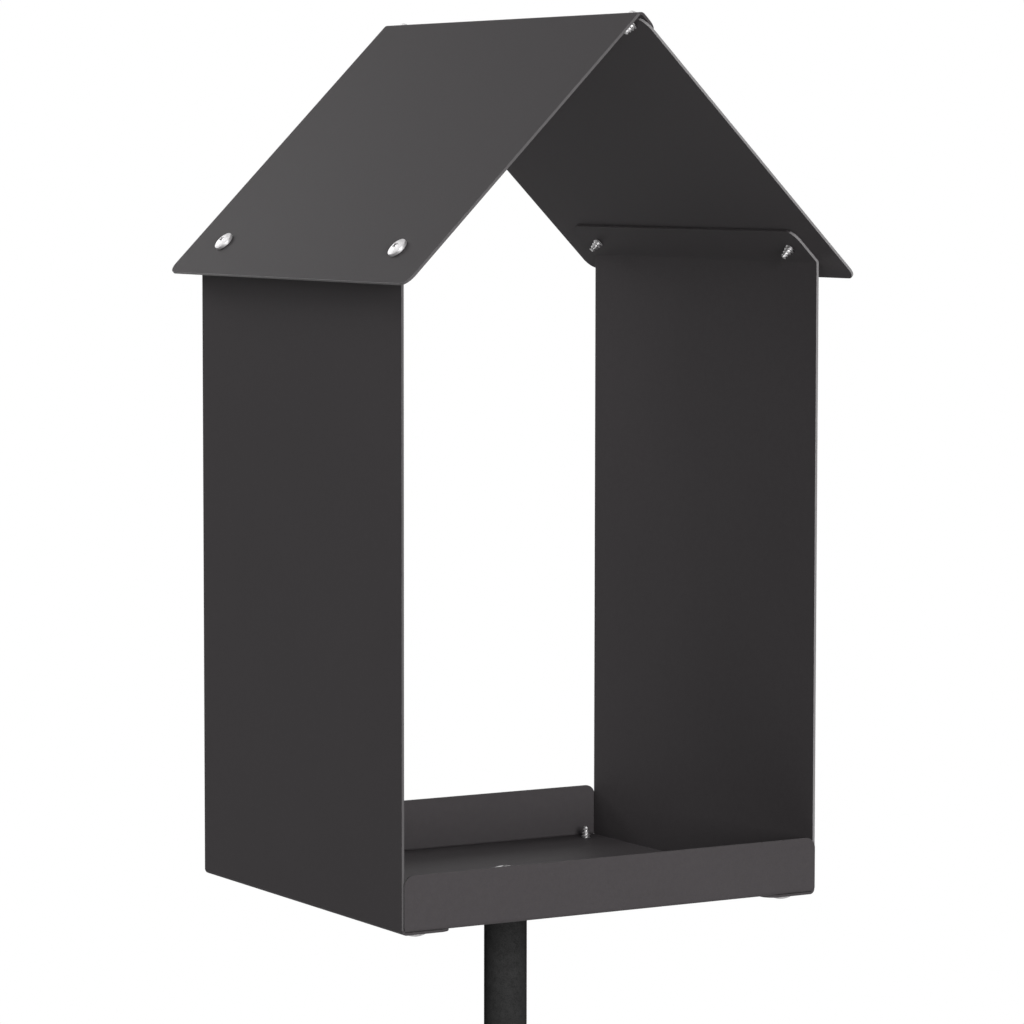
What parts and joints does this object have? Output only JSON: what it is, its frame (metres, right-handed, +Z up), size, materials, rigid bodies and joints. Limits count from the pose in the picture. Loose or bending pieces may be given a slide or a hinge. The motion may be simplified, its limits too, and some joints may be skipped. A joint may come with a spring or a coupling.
{
  "type": "bird feeder",
  "caption": "House-shaped bird feeder of bent sheet steel, open front and back, with a lipped seed tray under a pitched roof, screwed to the top of a slim round pole.",
  "frame": {"origin": "middle of the pole's lower face, at ground level", "axes": "+Z up along the pole, Y through the open house from front (-Y) to back, X across the walls"},
  "size_m": [0.1942, 0.19, 1.3321],
  "materials": {
    "sheet_coat": "fine-textured matt powder coat, anthracite",
    "pole_coat": "semi-matt black powder coat",
    "zinc": "bright zinc plate"
  },
  "bodies": {
    "root": {"left_wall": "sheet_coat", "right_wall": "sheet_coat", "tray": "sheet_coat", "roof_left": "sheet_coat", "roof_right": "sheet_coat", "eave_screw_left_front": "zinc", "eave_screw_left_back": "zinc", "eave_screw_right_front": "zinc", "eave_screw_right_back": "zinc", "ridge_screw_front": "zinc", "ridge_screw_back": "zinc", "tray_screw_left_front": "zinc", "tray_screw_left_back": "zinc", "tray_screw_right_front": "zinc", "tray_screw_right_back": "zinc", "pole_screw": "zinc", "pole_plug": "pole_coat", "pole_upper": "pole_coat", "pole_middle": "pole_coat", "pole_lower": "pole_coat"}
  },
  "joints": []
}
